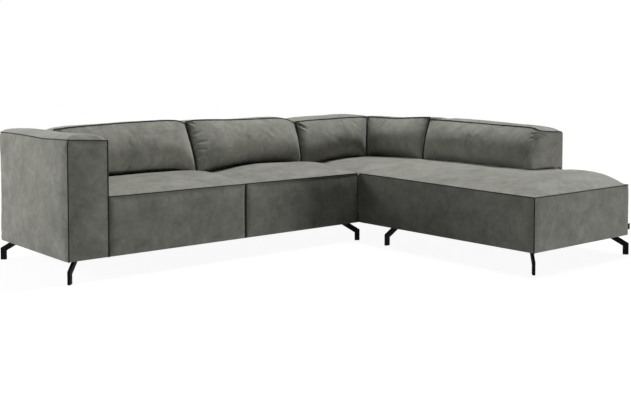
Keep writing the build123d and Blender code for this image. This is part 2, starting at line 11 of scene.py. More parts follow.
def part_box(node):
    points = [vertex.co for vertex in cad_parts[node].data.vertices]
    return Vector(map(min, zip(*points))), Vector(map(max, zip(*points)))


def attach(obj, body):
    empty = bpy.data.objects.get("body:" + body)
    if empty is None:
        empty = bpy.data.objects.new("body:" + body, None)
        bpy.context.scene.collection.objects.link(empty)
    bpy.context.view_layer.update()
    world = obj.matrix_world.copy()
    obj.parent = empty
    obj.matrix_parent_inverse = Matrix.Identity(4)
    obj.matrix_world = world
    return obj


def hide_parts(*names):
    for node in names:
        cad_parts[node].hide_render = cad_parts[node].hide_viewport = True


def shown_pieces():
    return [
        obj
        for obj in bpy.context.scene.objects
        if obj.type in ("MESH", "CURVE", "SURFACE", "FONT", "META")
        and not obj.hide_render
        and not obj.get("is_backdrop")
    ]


bl_info = {
    "name": "Corner sofa",
    "version": (1, 0, 0),
    "blender": (4, 5, 0),
    "location": "View3D > Sidebar > Sofa",
    "description": "Covers, welts and finishes for the frame of a corner sofa",
    "category": "Object",
}

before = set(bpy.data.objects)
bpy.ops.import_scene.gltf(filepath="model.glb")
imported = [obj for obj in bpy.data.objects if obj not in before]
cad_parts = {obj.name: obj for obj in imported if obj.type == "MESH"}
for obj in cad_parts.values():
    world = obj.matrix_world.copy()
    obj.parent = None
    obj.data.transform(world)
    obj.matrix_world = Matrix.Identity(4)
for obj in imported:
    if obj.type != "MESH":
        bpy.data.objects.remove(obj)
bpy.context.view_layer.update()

# Planes of the layout, in metres, from the frame
x_left, y_front, cover_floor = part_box("arm_cover")[0]
x_arm, y_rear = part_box("arm_cover")[1].xy
x_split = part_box("seat_cushion_left")[1].x
x_sofa_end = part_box("seat_cushion_right")[1].x
x_chaise, y_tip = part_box("chaise_seat_cushion")[0].xy
x_right, seat_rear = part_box("chaise_seat_cushion")[1].xy
y_back_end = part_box("back_cushion_chaise")[0].y
y_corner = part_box("back_cushion_chaise")[1].y
frame_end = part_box("chaise_side_panel")[0].y
seat_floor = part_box("sofa_felt_pad")[1].z
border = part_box("sofa_front_rail")[0].y - y_front
back_face = y_rear - seat_rear
sofa_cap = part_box("sofa_back_top_rail")[1].z
chaise_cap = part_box("chaise_rear_top_rail")[1].z
arm_box_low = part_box("arm_base_board")[0]
arm_box_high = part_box("arm_top_board")[1]

# Half the gap between the two rows of a sharp step, and the gap of a cover over the frame's boards
NOTCH = 0.0004
# Gap between neighbouring cushions
CLEAR = 0.002

# Covers by name, in the order in which they are made
covers = {}


class SofaForm(bpy.types.PropertyGroup):
    """Sizes of the covers that a maker would change."""

    arm_welt: FloatProperty(name="Arm welt", description="Height of the arm's welted edge",
                            default=0.756, subtype="DISTANCE", unit="LENGTH")
    arm_crown: FloatProperty(name="Arm crown", description="Rise of the arm's top above its welts",
                             default=0.020, subtype="DISTANCE", unit="LENGTH")
    seat_welt: FloatProperty(name="Seat welt", description="Height of the seats' welted front edge",
                             default=0.448, subtype="DISTANCE", unit="LENGTH")
    back_top_depth: FloatProperty(name="Back top depth", description="Depth of a back cushion at its welt",
                                  default=0.240, subtype="DISTANCE", unit="LENGTH")
    back_foot_depth: FloatProperty(name="Back foot depth", description="Depth of a back cushion at the seat",
                                   default=0.328, subtype="DISTANCE", unit="LENGTH")
    back_bulge: FloatProperty(name="Back bulge", description="Swell of a back cushion's front",
                              default=0.045, subtype="DISTANCE", unit="LENGTH")
    puff: FloatProperty(name="Puff", description="How far a padded panel stands proud of its welts",
                        default=0.005, subtype="DISTANCE", unit="LENGTH")
    swell: FloatProperty(name="Swell", description="Most that the simulation lifts a cover off its pattern",
                         default=0.006, subtype="DISTANCE", unit="LENGTH")
    puff_reach: FloatProperty(name="Puff reach", description="Distance from a welt over which a panel rises",
                              default=0.026, subtype="DISTANCE", unit="LENGTH")
    unevenness: FloatProperty(name="Unevenness", description="Depth of the cover's soft unevenness",
                              default=0.0025, subtype="DISTANCE", unit="LENGTH")
    welt_radius: FloatProperty(name="Welt radius", description="Radius of the welts",
                               default=0.0035, subtype="DISTANCE", unit="LENGTH")


class SofaLooks(bpy.types.PropertyGroup):
    """Colours and light that a user would change."""

    cover_colour: FloatVectorProperty(name="Cover", description="Colour of the suede cover", size=3,
                                      subtype="COLOR", min=0, max=1, default=(0.290, 0.290, 0.256))
    welt_colour: FloatVectorProperty(name="Welts", description="Colour of the welts", size=3,
                                     subtype="COLOR", min=0, max=1, default=(0.035, 0.035, 0.031))
    leg_colour: FloatVectorProperty(name="Legs", description="Colour of the legs' powder coat", size=3,
                                    subtype="COLOR", min=0, max=1, default=(0.008, 0.008, 0.0085))
    top_light: FloatProperty(name="Overhead light", description="Power of the softbox high over the sofa",
                             default=700, unit="POWER")
    left_light: FloatProperty(name="Left light", description="Power of the softbox beside the arm",
                              default=90, unit="POWER")
    front_light: FloatProperty(name="Front light", description="Power of the softbox at the floor in front",
                               default=250, unit="POWER")


# Mesh helpers


def along(stations, place):
    """Value at a place on a smooth line through (place, value) stations."""
    last = len(stations) - 1
    slopes = []
    for index in range(last + 1):
        before, after = stations[max(index - 1, 0)], stations[min(index + 1, last)]
        slopes.append((after[1] - before[1]) / (after[0] - before[0]))
    for index in range(last):
        (start, low), (end, high) = stations[index], stations[index + 1]
        if place <= end or index == last - 1:
            span = end - start
            share = min(max((place - start) / span, 0), 1)
            rest = 1 - share
            return (low * (1 + 2 * share) * rest * rest + high * share * share * (3 - 2 * share)
                    + slopes[index] * span * share * rest * rest
                    - slopes[index + 1] * span * share * share * rest)


def dome(place, reach):
    """Rise of a padded edge: 0 at its welt, 1 from its reach inwards."""
    share = min(max(place / reach, 0), 1)
    return 1 - (1 - share) ** 2


def roll(place, radius):
    """Drop of a rounded edge, as a share of its radius: 1 at the edge, 0 from the radius inwards."""
    share = min(max(1 - place / radius, 0), 1)
    return 1 - sqrt(1 - share * share)


def rows(length, step, fine, reach, notches=()):
    """Places along a side: close together near its ends, even between, with a pair at each notch."""
    count = max(1, round(reach / fine))
    edge = [reach * index / count for index in range(count)]
    inner = length - 2 * reach
    steps = max(1, round(inner / step))
    middle = [reach + inner * index / steps for index in range(steps + 1)]
    places = edge + middle + [length - place for place in edge]
    for notch in notches:
        places = [place for place in places if abs(place - notch) > fine / 3]
        places += [notch - NOTCH, notch + NOTCH]
    return sorted(places)


def block(name, sides, shape):
    """Closed block cut at the given rows along its three sides, each point moved by shape."""
    mesh = bmesh.new()
    bmesh.ops.create_cube(mesh, size=1)
    bmesh.ops.translate(mesh, verts=mesh.verts, vec=(0.5, 0.5, 0.5))
    for axis, places in enumerate(sides):
        edges = [edge for edge in mesh.edges
                 if abs(edge.verts[0].co[axis] - edge.verts[1].co[axis]) > 0.5]
        bmesh.ops.subdivide_edges(mesh, edges=edges, cuts=len(places) - 2, use_grid_fill=True)
    mesh.verts.index_update()
    spots = []
    for vert in mesh.verts:
        spot = [round(value * (len(places) - 1)) for value, places in zip(vert.co, sides)]
        spots.append(spot)
        vert.co = shape(*(places[index] for index, places in zip(spot, sides)))
    mesh.normal_update()
    data = bpy.data.meshes.new(name)
    mesh.to_mesh(data)
    mesh.free()
    data.polygons.foreach_set("use_smooth", [True] * len(data.polygons))
    piece = bpy.data.objects.new(name, data)
    bpy.context.scene.collection.objects.link(piece)
    return {"piece": piece, "spots": spots, "sides": sides, "welts": {}, "shown": ""}


def faces_of(cover, index):
    """Names of the block's faces that a point lies on, such as x0 or z1."""
    names = []
    for axis, spot, places in zip("xyz", cover["spots"][index], cover["sides"]):
        if spot == 0:
            names.append(axis + "0")
        elif spot == len(places) - 1:
            names.append(axis + "1")
    return names


def seam_distance(cover, index):
    """Distance along the cover from a point to the nearest edge of its face."""
    gaps = []
    for spot, places in zip(cover["spots"][index], cover["sides"]):
        if 0 < spot < len(places) - 1:
            gaps.append(min(places[spot], places[-1] - places[spot]))
    return min(gaps) if len(gaps) == 2 else 0


def seam(cover, first, second, within=None):
    """Points along the edge between two faces, in order, where within says yes to their place."""
    points = [index for index in range(len(cover["spots"]))
              if {first, second} <= set(faces_of(cover, index))]
    axis = next(axis for axis in range(3) if "xyz"[axis] not in first + second)
    points.sort(key=lambda index: cover["spots"][index][axis])
    data = cover["piece"].data
    return [index for index in points if within is None or within(data.vertices[index].co)]


RIDGE = 0.5                  # height of the ridge beside a crease, as a share of its depth
RIDGE_PLACE = 1.9            # distance of that ridge, in widths of the crease


def fold(place, start, end, depth, width):
    """Push of a crease at a place on a face's flat pattern: it sinks along a line, with a ridge beside it."""
    start, line = Vector(start), Vector(end) - Vector(start)
    share = min(max((place - start).dot(line) / line.length_squared, 0), 1)
    gap = (place - start - line * share).length / width
    fade = (1 - share * share) ** 2
    return depth * fade * (RIDGE * exp(-((gap - RIDGE_PLACE) ** 2)) - exp(-gap * gap))


# Unevenness of a cover: scale of the noise, and its share beside the broad lumps
BROAD_LUMPS = 6
SMALL_LUMPS = (15, 0.5)
PUCKERS = (26, 0.6)
PUCKER_REACH = 0.04          # distance from a seam over which the puckers fade


def upholster(cover, shown, welts, folds=()):
    """Puffs the shown faces up between their seams, with the soft unevenness of a loose cover."""
    form = bpy.context.scene.sofa_form
    cover["welts"] = welts
    cover["shown"] = shown
    data = cover["piece"].data
    normals = [vert.normal.copy() for vert in data.vertices]
    for index, vert in enumerate(data.vertices):
        names = faces_of(cover, index)
        if len(names) != 1 or names[0] not in shown:
            continue
        gap = seam_distance(cover, index)
        lumps = noise.noise(vert.co * BROAD_LUMPS) + SMALL_LUMPS[1] * noise.noise(vert.co * SMALL_LUMPS[0])
        puckers = PUCKERS[1] * noise.noise(vert.co * PUCKERS[0]) * exp(-gap / PUCKER_REACH)
        push = (1 - exp(-gap / form.puff_reach)) * (form.puff + form.unevenness * (lumps + puckers))
        place = Vector([places[spot] for axis, spot, places
                        in zip("xyz", cover["spots"][index], cover["sides"]) if axis != names[0][0]])
        push += sum(fold(place, *crease) for face, *crease in folds if face == names[0])
        vert.co += normals[index] * push
    covers[cover["piece"].name] = cover


# Finishes


def node(tree, kind, links=None, **settings):
    """Adds a shader node with its settings, and links or sets its inputs."""
    made = tree.nodes.new("ShaderNode" + kind)
    for key, value in settings.items():
        setattr(made, key, value)
    for key, value in (links or {}).items():
        if isinstance(value, bpy.types.NodeSocket):
            tree.links.new(value, made.inputs[key])
        else:
            made.inputs[key].default_value = value
    return made


def finish(name, roughness, **values):
    """A material with an empty surface of a given roughness, and its node tree."""
    made = bpy.data.materials.new(name)
    made.use_nodes = True
    shader = made.node_tree.nodes["Principled BSDF"]
    shader.inputs["Roughness"].default_value = roughness
    for key, value in values.items():
        shader.inputs[key.replace("_", " ")].default_value = value
    return made, made.node_tree, shader


def shades(tree, source, stops):
    """Colour ramp over a value, from (place, colour) stops."""
    ramp = node(tree, "ValToRGB", {"Fac": source})
    elements = ramp.color_ramp.elements
    while len(elements) < len(stops):
        elements.new(1)
    for element, (place, colour) in zip(elements, stops):
        element.position = place
        element.color = (*colour, 1)
    return ramp.outputs["Color"]


def tint(colour, factor):
    """A colour made lighter or darker."""
    return tuple(min(1, channel * factor) for channel in colour)


def suede(name, colour, nap=1.0):
    """Brushed suede-like cover: cloudy patches, brush marks and a fine nap."""
    made, tree, shader = finish(name, 0.92, Sheen_Weight=0.25, Sheen_Roughness=0.5,
                                Specular_IOR_Level=0.15)
    place = node(tree, "TexCoord").outputs["Object"]
    clouds = node(tree, "TexNoise", {"Vector": place, "Scale": 7, "Detail": 4, "Roughness": 0.6,
                                     "Distortion": 0.5})
    patches = node(tree, "TexNoise", {"Vector": place, "Scale": 24, "Detail": 4, "Roughness": 0.6,
                                      "Distortion": 0.8})
    grain = node(tree, "TexNoise", {"Vector": place, "Scale": 420, "Detail": 2, "Roughness": 0.6})
    mottle = node(tree, "Mix", {"Factor": 0.4, "A": clouds.outputs["Fac"], "B": patches.outputs["Fac"]})
    base = shades(tree, mottle.outputs["Result"], [
        (0.36, tint(colour, 1 - 0.22 * nap)),
        (0.50, colour),
        (0.63, tint(colour, 1 + 0.22 * nap)),
    ])
    fine = shades(tree, grain.outputs["Fac"], [(0.3, (0.82, 0.82, 0.82)), (0.7, (1, 1, 1))])
    mixed = node(tree, "Mix", {"Factor": 0.55, "A": base, "B": fine}, data_type="RGBA",
                 blend_type="MULTIPLY")
    tree.links.new(mixed.outputs["Result"], shader.inputs["Base Color"])
    bump = node(tree, "Bump", {"Strength": 0.12, "Distance": 0.002, "Height": grain.outputs["Fac"]})
    soft = node(tree, "Bump", {"Strength": 0.25, "Distance": 0.004, "Height": patches.outputs["Fac"],
                               "Normal": bump.outputs["Normal"]})
    tree.links.new(soft.outputs["Normal"], shader.inputs["Normal"])
    return made


def speckle(tree, scale, detail=3, **links):
    """Noise over the piece's own coordinates."""
    place = node(tree, "TexCoord").outputs["Object"]
    return node(tree, "TexNoise", {"Vector": place, "Scale": scale, "Detail": detail, **links}).outputs["Fac"]


def relief(tree, shader, height, strength, distance):
    """Bump on a surface from a height."""
    bump = node(tree, "Bump", {"Strength": strength, "Distance": distance, "Height": height})
    tree.links.new(bump.outputs["Normal"], shader.inputs["Normal"])


def coated(name, colour, roughness, scale, strength):
    """Matte coat with a fine orange peel and slightly worn patches."""
    made, tree, shader = finish(name, roughness, Specular_IOR_Level=0.05)
    patches = speckle(tree, 14)
    tree.links.new(shades(tree, patches, [(0.35, tint(colour, 0.8)), (0.7, tint(colour, 1.3))]),
                   shader.inputs["Base Color"])
    relief(tree, shader, speckle(tree, scale), strength, 0.0005)
    return made


def plated(name, colour, roughness):
    """Zinc-plated steel with faint clouds in its shine."""
    made, tree, shader = finish(name, roughness, Metallic=1)
    clouds = speckle(tree, 60)
    tree.links.new(shades(tree, clouds, [(0.3, tint(colour, 0.8)), (0.7, tint(colour, 1.15))]),
                   shader.inputs["Base Color"])
    rough = node(tree, "MapRange", {"Value": clouds, "To Min": roughness - 0.08, "To Max": roughness + 0.12})
    tree.links.new(rough.outputs["Result"], shader.inputs["Roughness"])
    relief(tree, shader, speckle(tree, 500), 0.05, 0.0003)
    return made


def planed(name, dark, light):
    """Planed softwood with its grain along X and a few darker streaks."""
    made, tree, shader = finish(name, 0.7, Specular_IOR_Level=0.3)
    place = node(tree, "TexCoord").outputs["Object"]
    stretched = node(tree, "Mapping", {"Vector": place, "Scale": (1.2, 14, 14)}).outputs["Vector"]
    grain = node(tree, "TexNoise", {"Vector": stretched, "Scale": 3, "Detail": 6, "Distortion": 0.6})
    tree.links.new(shades(tree, grain.outputs["Fac"], [(0.3, dark), (0.5, light), (0.75, tint(light, 1.08))]),
                   shader.inputs["Base Color"])
    relief(tree, shader, grain.outputs["Fac"], 0.15, 0.001)
    return made


def woven(name, dark, light, scale):
    """Cloth of coarse threads or fibres, from dark to light."""
    made, tree, shader = finish(name, 0.9, Sheen_Weight=0.1, Specular_IOR_Level=0.15)
    fibres = speckle(tree, scale, 2, Distortion=0.8)
    tree.links.new(shades(tree, fibres, [(0.35, dark), (0.65, light)]), shader.inputs["Base Color"])
    relief(tree, shader, fibres, 0.3, 0.0006)
    return made


# Forms of the seats, shared by the cushions that stand on them

LEFT_SEAT_RISES = ((0, 0.025), (0.16, 0.044), (0.5, 0.052), (0.84, 0.053), (1, 0.044))
RIGHT_SEAT_RISES = ((0, 0.003), (0.16, 0.013), (0.5, 0.056), (0.84, 0.051), (1, 0.044))
CHAISE_SEAMS = ((0, 0.430), (0.2, 0.4345), (0.4, 0.4408), (0.6, 0.446), (0.8, 0.448), (1, 0.448))
CHAISE_CRESTS = ((0, 0.500), (0.2, 0.5035), (0.4, 0.506), (0.56, 0.506), (0.73, 0.501), (0.89, 0.485),
                 (1, 0.470))
CREST_REACH = 0.577          # from the chaise's inner side to its crest
SHOULDER = 0.036             # round edge along the chaise's outer side
TIP_REACH = 0.26             # from the chaise's tip to its full height
VALLEY = 0.060               # dip of the chaise beside the sofa's seats
VALLEY_REACH = 0.40
SEAT_EDGE = 0.022            # round edge along a sofa seat's sides
SEAT_EDGE_DROP = 0.5         # how much of that round shows


def sofa_seat_top(x0, x1, rises, x, y):
    """Height of a sofa seat's top."""
    share = (x - x0) / (x1 - x0)
    depth = (y - y_front) / (seat_rear - y_front)
    rise = along(rises, share) * 4 * depth * (1 - depth)
    edge = min(x - x0, x1 - x)
    drop = SEAT_EDGE_DROP * SEAT_EDGE * roll(edge, SEAT_EDGE) * min(1, rise / SEAT_EDGE)
    return bpy.context.scene.sofa_form.seat_welt + rise - drop


def flat_top(top, gap):
    """Height of a seat's top before its cover puffs up, at a distance from its seams."""
    form = bpy.context.scene.sofa_form
    return top - (form.puff + form.swell) * (1 - exp(-max(gap, 0) / form.puff_reach))


def left_seat_top(x, y):
    """Height of the left seat's top."""
    return sofa_seat_top(x_arm, x_split, LEFT_SEAT_RISES, x, y)


def right_seat_top(x, y):
    """Height of the right seat's top."""
    return sofa_seat_top(x_split, x_sofa_end, RIGHT_SEAT_RISES, x, y)


def chaise_seat_top(x, y):
    """Height of the chaise seat's top."""
    share = (y - y_tip) / (seat_rear - y_tip)
    welt = along(CHAISE_SEAMS, share)
    rise = (along(CHAISE_CRESTS, share) - welt) * dome(x - x_chaise, CREST_REACH) * dome(y - y_tip, TIP_REACH)
    valley = VALLEY * roll(x - x_chaise, VALLEY_REACH) * dome(y - y_front, VALLEY_REACH / 2)
    return welt + rise * (1 - roll(x_right - x, SHOULDER)) - valley


# Pieces


class SOFA_OT_arm(bpy.types.Operator):
    """Make the arm's cover"""

    bl_idname = "sofa.arm"
    bl_label = "Arm"

    WAVES = ((0, 1.25), (0.2, 1.15), (0.5, 0.85), (0.75, 0.95), (1, 0.85))
    FLATNESS = 6
    FRONT_CROWN = 0.03
    SIDE_SWELL = 0.010
    # Depth and radius of the rounds that draw the outer side in
    FRONT_ROLL = (0.010, 0.055)
    TOP_ROLL = (0.006, 0.050)
    REAR_ROLL = (0.016, 0.030)
    # Rows of the block: step, fine step near the ends, reach of the fine rows
    ACROSS = (0.016, 0.006, 0.03)
    LENGTHWISE = (0.018, 0.008, 0.05)
    WELT_WAVES = ((0, 0.013), (0.18, 0.010), (0.31, 0.006), (0.57, 0.011), (0.78, 0.013), (1, 0.011))

    def execute(self, context):
        form = context.scene.sofa_form
        width, length, height = x_arm - x_left, y_rear - y_front, form.arm_welt - cover_floor
        box_x = (arm_box_low.x - x_left, arm_box_high.x - x_left)
        box_y = (arm_box_low.y - y_front, arm_box_high.y - y_front)

        def shape(px, py, pz):
            share = py / length
            welt = form.arm_welt + along(self.WELT_WAVES, share) * (1 - px / width)
            across = 1 - (2 * px / width - 1) ** self.FLATNESS
            top = welt + form.arm_crown * across * along(self.WAVES, share) * dome(py, self.FRONT_CROWN)
            drawn = sum(depth * roll(gap, radius) for gap, (depth, radius) in (
                (py, self.FRONT_ROLL), (height - pz, self.TOP_ROLL), (length - py, self.REAR_ROLL)))
            hollow = box_x[0] < px < box_x[1] and box_y[0] < py < box_y[1]
            floor = arm_box_high.z + NOTCH if hollow else cover_floor
            x = x_left + px + (drawn - self.SIDE_SWELL) * (1 - px / width)
            return Vector((x, y_front + py, floor + (top - floor) * pz / height))

        cover = block("arm_pad", (rows(width, *self.ACROSS, box_x), rows(length, *self.LENGTHWISE, box_y),
                                  rows(height, *self.LENGTHWISE)), shape)
        upholster(cover, "x0 y0 y1 z1", {
            "arm_welts": [seam(cover, "y0", "z1"), seam(cover, "x0", "z1"), seam(cover, "x1", "z1"),
                          seam(cover, "x0", "y0"), seam(cover, "x1", "y0")],
        })
        dress(cover, "sofa_module", 0.85, "arm_cover")
        return {"FINISHED"}


def dress(cover, body, fill, *nodes):
    """Notes what a finished cover rides on, attaches it there and hides the frame parts it stands for."""
    piece = cover["piece"]
    cover["body"] = body
    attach(piece, body)
    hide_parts(*nodes)


class SOFA_OT_seats(bpy.types.Operator):
    """Make the two seats of the sofa"""

    bl_idname = "sofa.seats"
    bl_label = "Seats"

    FRONT_EDGE = 0.008
    GROOVE = 0.005
    # Rows of the block: step, fine step near the ends, reach of the fine rows
    ACROSS = (0.018, 0.005, 0.03)
    INWARDS = (0.018, 0.006, 0.045)
    UPWARDS = (0.018, 0.008, 0.04)

    def seat(self, form, name, x0, x1, top_at, node_name):
        width, depth, height = x1 - x0 - CLEAR, seat_rear - y_front, form.seat_welt - cover_floor

        def shape(px, py, pz):
            x, y = x0 + CLEAR / 2 + px, y_front + py
            floor = seat_floor if py > border else cover_floor
            top = flat_top(top_at(x, y), min(px, width - px, py, depth - py))
            z = floor + (top - floor) * pz / height
            round_off = self.FRONT_EDGE * roll(min(px, width - px), self.FRONT_EDGE)
            near = max(0, 1 - py / border)
            x += self.GROOVE * near * (1 - 2 * px / width)
            return Vector((x, y + round_off * near, z))

        cover = block(name, (rows(width, *self.ACROSS), rows(depth, *self.INWARDS, [border]),
                             rows(height, *self.UPWARDS)), shape)
        upholster(cover, "y0 z1", {
            name.replace("pad", "welts"): [seam(cover, "y0", "z1"), seam(cover, "x0", "y0"),
                                           seam(cover, "x1", "y0")],
        })
        dress(cover, "sofa_module", 0.8, node_name)

    def execute(self, context):
        form = context.scene.sofa_form
        self.seat(form, "seat_left_pad", x_arm, x_split, left_seat_top, "seat_cushion_left")
        self.seat(form, "seat_right_pad", x_split, x_sofa_end, right_seat_top, "seat_cushion_right")
        return {"FINISHED"}


class SOFA_OT_chaise_seat(bpy.types.Operator):
    """Make the long seat of the chaise"""

    bl_idname = "sofa.chaise_seat"
    bl_label = "Chaise seat"

    SIDE_SWELL = 0.009
    SIDE_ROUND = 0.060
    SIDE_FLATNESS = 8
    SWELL_END = 0.1
    # Rows of the block: step, fine step near the ends, reach of the fine rows
    ACROSS = (0.019, 0.007, 0.06)
    LENGTHWISE = (0.020, 0.008, 0.06)
    UPWARDS = (0.020, 0.009, 0.04)

    def execute(self, context):
        form = context.scene.sofa_form
        width, length, height = x_right - x_chaise, seat_rear - y_tip, form.seat_welt - cover_floor
        side_start = frame_end - y_tip

        def shape(px, py, pz):
            y = y_tip + py
            reach = x_right - back_face if py > side_start else x_right
            x = x_chaise + px * (reach - x_chaise) / width
            x += (self.SIDE_SWELL * (px / width) ** self.SIDE_FLATNESS
                  * (1 - roll(height - pz, self.SIDE_ROUND)) * dome(side_start - py, self.SWELL_END))
            inside = border < px < width - border and py > border
            floor = seat_floor if inside else cover_floor
            top = flat_top(chaise_seat_top(x, y), min(px, width - px, py, length - py))
            return Vector((x, y, floor + (top - floor) * pz / height))

        cover = block("chaise_seat_pad", (rows(width, *self.ACROSS, [border, width - border]),
                                          rows(length, *self.LENGTHWISE, [border, side_start]),
                                          rows(height, *self.UPWARDS)), shape)
        upholster(cover, "x0 x1 y0 z1", {
            "chaise_seat_welts": [
                seam(cover, "x0", "z1", within=lambda co: co.y < y_front), seam(cover, "y0", "z1"),
                seam(cover, "x1", "z1", within=lambda co: co.y < y_back_end),
                seam(cover, "x0", "y0"),
            ],
        })
        dress(cover, "chaise_module", 0.8, "chaise_seat_cushion")
        return {"FINISHED"}


class SOFA_OT_backs(bpy.types.Operator):
    """Make the five back cushions"""

    bl_idname = "sofa.backs"
    bl_label = "Back cushions"

    END_ROUND = 0.045
    END_DRAW = 0.022
    END_GROOVE = 0.007
    FOOT_ROUND = 0.200
    FOOT_DRAW = 0.070
    REAR_ROUND = 0.040
    REAR_DROP = 0.6
    LEAN = 0.042
    # Share at the ends, and distance from an end to the full amount, of the bulge and of the drawn-in foot
    BULGE_ENDS = (0.15, 0.24)
    FOOT_ENDS = (0.2, 0.16)
    OPEN_FOOT = 0.5
    # Rows of the block: step, fine step near the ends, reach of the fine rows
    LENGTHWISE = (0.014, 0.006, 0.16)
    INWARDS = (0.014, 0.006, 0.03)
    UPWARDS = (0.007, 0.006, 0.03)
    # Heights of the front welts along each cushion, as (share, height)
    LEFT_WELT = ((0, 0.784), (0.1, 0.792), (0.28, 0.799), (0.5, 0.806), (0.7, 0.810), (0.86, 0.811),
                 (0.94, 0.804), (1, 0.783))
    MIDDLE_WELT = ((0, 0.797), (0.06, 0.806), (0.4, 0.798), (0.68, 0.797), (0.83, 0.797), (0.92, 0.781),
                   (0.975, 0.757), (1, 0.738))
    REAR_WELT = ((0, 0.765), (0.15, 0.771), (0.42, 0.774), (0.72, 0.779), (1, 0.780))
    SIDE_WELT = ((0, 0.781), (0.23, 0.780), (0.52, 0.780), (0.82, 0.793), (1, 0.798))
    END_WELT = ((0, 0.784), (0.15, 0.784), (0.33, 0.780), (0.5, 0.776), (0.68, 0.772), (0.88, 0.769),
                (0.96, 0.763), (1, 0.748))
    # Rise of the tops from the front welt to the rear, as (share, rise)
    LEFT_RISES = ((0, -0.030), (0.08, -0.015), (0.4, -0.018), (1, -0.020))
    MIDDLE_RISES = ((0, -0.020), (0.5, -0.014), (0.8, -0.008), (1, -0.010))
    SIDE_RISES = ((0, -0.012), (1, -0.014))
    REAR_RISES = ((0, 0.006), (0.4, 0.012), (0.7, 0.008), (1, -0.014))
    END_RISES = ((0, -0.012), (0.12, -0.003), (0.4, -0.002), (0.7, -0.006), (0.9, -0.012), (1, -0.012))
    # Creases: face, start and end on its flat pattern, depth, width
    MIDDLE_FOLDS = (
        ("y0", (0.015, 0.323), (0.060, 0.294), 0.008, 0.007),
        ("y0", (0.016, 0.251), (0.108, 0.265), 0.005, 0.008),
        ("y0", (0.012, 0.202), (0.132, 0.201), 0.008, 0.007),
        ("y0", (0.014, 0.160), (0.114, 0.151), 0.008, 0.006),
        ("y0", (0.017, 0.129), (0.096, 0.111), 0.008, 0.006),
        ("y0", (0.022, 0.094), (0.072, 0.081), 0.006, 0.006),
    )
    REAR_FOLDS = (
        ("y0", (0.000, 0.305), (0.082, 0.243), 0.016, 0.008),
        ("y0", (0.006, 0.326), (0.018, 0.280), 0.008, 0.006),
    )
    END_FOLDS = (
        ("y0", (0.968, 0.283), (0.915, 0.262), 0.014, 0.006),
        ("y0", (0.962, 0.250), (0.912, 0.222), 0.007, 0.007),
        ("y0", (0.957, 0.240), (0.948, 0.060), 0.005, 0.008),
        ("x1", (0.004, 0.283), (0.140, 0.214), 0.015, 0.007),
        ("x1", (0.010, 0.296), (0.150, 0.270), 0.007, 0.008),
    )

    def grown(self, gap, least, reach):
        """Share of a form at a distance from a cushion's end: the least at the end, 1 past the reach."""
        return least + (1 - least) * dome(gap, reach)

    def cushion(self, form, name, length, welt, cap, place, top_at, rear_rise, open_end=False, folds=()):
        """Cushion that leans on a wall, where place turns a share, a depth and a height into x and y."""
        depth, height = form.back_foot_depth, form.back_foot_depth
        cap += NOTCH

        def shape(px, py, pz):
            share, into = px / length, py / depth
            gap = min(px, length - px)
            closed = open_end and length - px < border
            foot, top = form.back_foot_depth, form.back_top_depth
            rear = 0 if closed or pz > notch else back_face
            x, y = place(share, foot + (rear - foot) * into, 0)
            floor = top_at(x, y) + CLEAR
            ceiling = along(welt, share) + along(rear_rise, share) * sin(pi / 2 * into)
            ceiling -= self.REAR_DROP * self.REAR_ROUND * roll((1 - into) * top, self.REAR_ROUND)
            if pz > notch:
                z = cap + (ceiling - cap) * (pz - notch) / (height - notch)
            else:
                z = floor + (cap - floor) * pz / notch
            up = (z - floor) / (ceiling - floor)
            bulge = form.back_bulge * self.grown(gap, *self.BULGE_ENDS) * 4 * up * (1 - up)
            front = foot + (top - foot) * up + bulge - self.END_DRAW * roll(gap, self.END_ROUND)
            under = (self.FOOT_DRAW * self.grown(gap, *self.FOOT_ENDS)
                     * (1 - self.OPEN_FOOT * open_end * share))
            front -= under * max(0, 1 - (z - floor) / self.FOOT_ROUND) ** 2
            share += self.END_GROOVE / length * (1 - 2 * share) * (1 - into) ** 3
            x, y = place(share, front + (rear - front) * into, up)
            return Vector((x, y, z))

        base = top_at(*place(0.5, back_face, 0))
        notch = height * (cap - base) / (along(welt, 0.5) - base)
        ends = [length - border] if open_end else []
        cover = block(name, (rows(length, *self.LENGTHWISE, ends), rows(depth, *self.INWARDS),
                             rows(height, *self.UPWARDS, [notch])), shape)
        lines = [seam(cover, "y0", "z1"), seam(cover, "x0", "y0")]
        lines.append(seam(cover, "x1", "z1")[:-3] if open_end else seam(cover, "x1", "y0"))
        upholster(cover, "y0 z1 y1 x1" if open_end else "y0 z1 y1", {name.replace("pad", "welts"): lines},
                  folds)
        return cover

    def execute(self, context):
        form = context.scene.sofa_form

        def left_wall(share, depth, up):
            start, end = x_arm + CLEAR, x_split - CLEAR / 2 + self.LEAN * (1 - up)
            return start + (end - start) * share, y_rear - depth

        def middle_wall(share, depth, up):
            start, end = x_split + CLEAR / 2 + self.LEAN * (1 - up), x_sofa_end
            return start + (end - start) * share, y_rear - depth

        def rear_corner(share, depth, up):
            return x_chaise + CLEAR + (x_right - depth - x_chaise - 2 * CLEAR) * share, y_rear - depth

        def side_corner(share, depth, up):
            start = y_rear - depth - CLEAR
            return x_right - depth, start + (y_corner + CLEAR / 2 - start) * share

        def side_wall(share, depth, up):
            return x_right - depth, y_corner - CLEAR / 2 + (y_back_end - y_corner) * share

